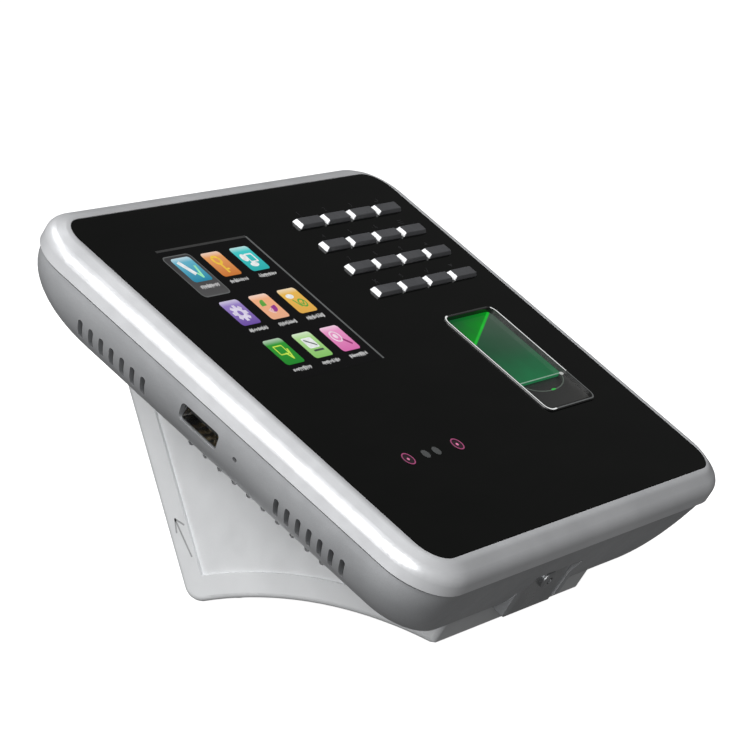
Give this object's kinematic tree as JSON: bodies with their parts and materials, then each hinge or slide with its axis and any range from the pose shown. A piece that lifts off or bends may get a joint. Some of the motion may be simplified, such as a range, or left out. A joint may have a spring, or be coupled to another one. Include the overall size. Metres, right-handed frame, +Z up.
{
  "type": "fingerprint scanner terminal",
  "caption": "Desk fingerprint and keypad terminal: tilted black glass face in a silver frame, deep rounded rear shell, hollow arched desk stand.",
  "frame": {"origin": "on the desk, under the middle of the object's bounding box", "axes": "+Z up, +X to the right across the face, the face looks towards -Y and up"},
  "size_m": [0.1676, 0.1304, 0.1064],
  "materials": {
    "silver_paint": "metallic silver paint",
    "silver_shell": "satin silver-grey paint",
    "stand_silver": "satin light silver",
    "black_gloss": "piano black",
    "display_glass": "dark display window",
    "display_dark": "display module",
    "key_grey": "satin dark grey",
    "bright_rim": "bright metal",
    "sensor_glass": "optical glass, green lit",
    "soft_grey": "satin grey",
    "black_plastic": "moulded black",
    "circuit_board": "solder mask",
    "chip_black": "epoxy",
    "terminal_green": "moulded green",
    "steel": "plated steel",
    "rubber": "matt rubber",
    "light_pink": "clear ring lit pink",
    "light_window": "dark window",
    "lens_grey": "smoked lens"
  },
  "bodies": {
    "terminal": {"front_bezel": "silver_paint", "front_panel": "black_gloss", "display_lens": "display_glass", "lcd_module": "display_dark", "lcd_frame": "steel", "front_chassis": "black_plastic", "keypad_membrane": "rubber", "keypad_board": "circuit_board", "sensor_frame": "bright_rim", "sensor_prism": "sensor_glass", "finger_rest": "soft_grey", "sensor_housing": "black_plastic", "sensor_imager": "circuit_board", "light_ring_left": "light_pink", "light_ring_right": "light_pink", "light_dot_left": "light_window", "light_dot_right": "light_window", "small_lens_left": "lens_grey", "small_lens_right": "lens_grey", "light_board": "circuit_board", "rear_cover": "silver_shell", "main_board": "circuit_board", "board_chips": "chip_black", "coin_cell": "steel", "relay": "black_plastic", "terminal_block": "terminal_green", "network_jack": "steel", "power_jack": "black_plastic", "usb_shell": "bright_rim", "usb_tongue": "black_plastic", "reset_switch": "steel", "tamper_switch": "black_plastic", "speaker": "black_plastic", "back_plate": "steel", "stand_shell": "stand_silver", "rubber_feet": "rubber", "case_screws": "steel", "board_screws": "steel", "chassis_screws": "steel", "plate_screws": "steel", "security_screw": "steel"},
    "key_1": {"key_1": "key_grey"},
    "key_2": {"key_2": "key_grey"},
    "key_3": {"key_3": "key_grey"},
    "key_back": {"key_back": "key_grey"},
    "key_4": {"key_4": "key_grey"},
    "key_5": {"key_5": "key_grey"},
    "key_6": {"key_6": "key_grey"},
    "key_menu": {"key_menu": "key_grey"},
    "key_7": {"key_7": "key_grey"},
    "key_8": {"key_8": "key_grey"},
    "key_9": {"key_9": "key_grey"},
    "key_up": {"key_up": "key_grey"},
    "key_clear": {"key_clear": "key_grey"},
    "key_0": {"key_0": "key_grey"},
    "key_enter": {"key_enter": "key_grey"},
    "key_down": {"key_down": "key_grey"},
    "reset_button": {"reset_button": "black_plastic"},
    "tamper_plunger": {"tamper_plunger": "black_plastic"}
  },
  "joints": [
    {"name": "key_1_press", "type": "slide", "parent": "terminal", "child": "key_1", "axis": [0, 0.5373, -0.8434], "range_m": [0, 0.0008], "stiffness_N_per_m": 600},
    {"name": "key_2_press", "type": "slide", "parent": "terminal", "child": "key_2", "axis": [0, 0.5373, -0.8434], "range_m": [0, 0.0008], "stiffness_N_per_m": 600},
    {"name": "key_3_press", "type": "slide", "parent": "terminal", "child": "key_3", "axis": [0, 0.5373, -0.8434], "range_m": [0, 0.0008], "stiffness_N_per_m": 600},
    {"name": "key_back_press", "type": "slide", "parent": "terminal", "child": "key_back", "axis": [0, 0.5373, -0.8434], "range_m": [0, 0.0008], "stiffness_N_per_m": 600},
    {"name": "key_4_press", "type": "slide", "parent": "terminal", "child": "key_4", "axis": [0, 0.5373, -0.8434], "range_m": [0, 0.0008], "stiffness_N_per_m": 600},
    {"name": "key_5_press", "type": "slide", "parent": "terminal", "child": "key_5", "axis": [0, 0.5373, -0.8434], "range_m": [0, 0.0008], "stiffness_N_per_m": 600},
    {"name": "key_6_press", "type": "slide", "parent": "terminal", "child": "key_6", "axis": [0, 0.5373, -0.8434], "range_m": [0, 0.0008], "stiffness_N_per_m": 600},
    {"name": "key_menu_press", "type": "slide", "parent": "terminal", "child": "key_menu", "axis": [0, 0.5373, -0.8434], "range_m": [0, 0.0008], "stiffness_N_per_m": 600},
    {"name": "key_7_press", "type": "slide", "parent": "terminal", "child": "key_7", "axis": [0, 0.5373, -0.8434], "range_m": [0, 0.0008], "stiffness_N_per_m": 600},
    {"name": "key_8_press", "type": "slide", "parent": "terminal", "child": "key_8", "axis": [0, 0.5373, -0.8434], "range_m": [0, 0.0008], "stiffness_N_per_m": 600},
    {"name": "key_9_press", "type": "slide", "parent": "terminal", "child": "key_9", "axis": [0, 0.5373, -0.8434], "range_m": [0, 0.0008], "stiffness_N_per_m": 600},
    {"name": "key_up_press", "type": "slide", "parent": "terminal", "child": "key_up", "axis": [0, 0.5373, -0.8434], "range_m": [0, 0.0008], "stiffness_N_per_m": 600},
    {"name": "key_clear_press", "type": "slide", "parent": "terminal", "child": "key_clear", "axis": [0, 0.5373, -0.8434], "range_m": [0, 0.0008], "stiffness_N_per_m": 600},
    {"name": "key_0_press", "type": "slide", "parent": "terminal", "child": "key_0", "axis": [0, 0.5373, -0.8434], "range_m": [0, 0.0008], "stiffness_N_per_m": 600},
    {"name": "key_enter_press", "type": "slide", "parent": "terminal", "child": "key_enter", "axis": [0, 0.5373, -0.8434], "range_m": [0, 0.0008], "stiffness_N_per_m": 600},
    {"name": "key_down_press", "type": "slide", "parent": "terminal", "child": "key_down", "axis": [0, 0.5373, -0.8434], "range_m": [0, 0.0008], "stiffness_N_per_m": 600},
    {"name": "reset_press", "type": "slide", "parent": "terminal", "child": "reset_button", "axis": [1, 0, 0], "range_m": [0, 0.0004], "stiffness_N_per_m": 800},
    {"name": "tamper_lift", "type": "slide", "parent": "terminal", "child": "tamper_plunger", "axis": [0, -0.5373, 0.8434], "range_m": [0, 0.001], "stiffness_N_per_m": 300}
  ]
}
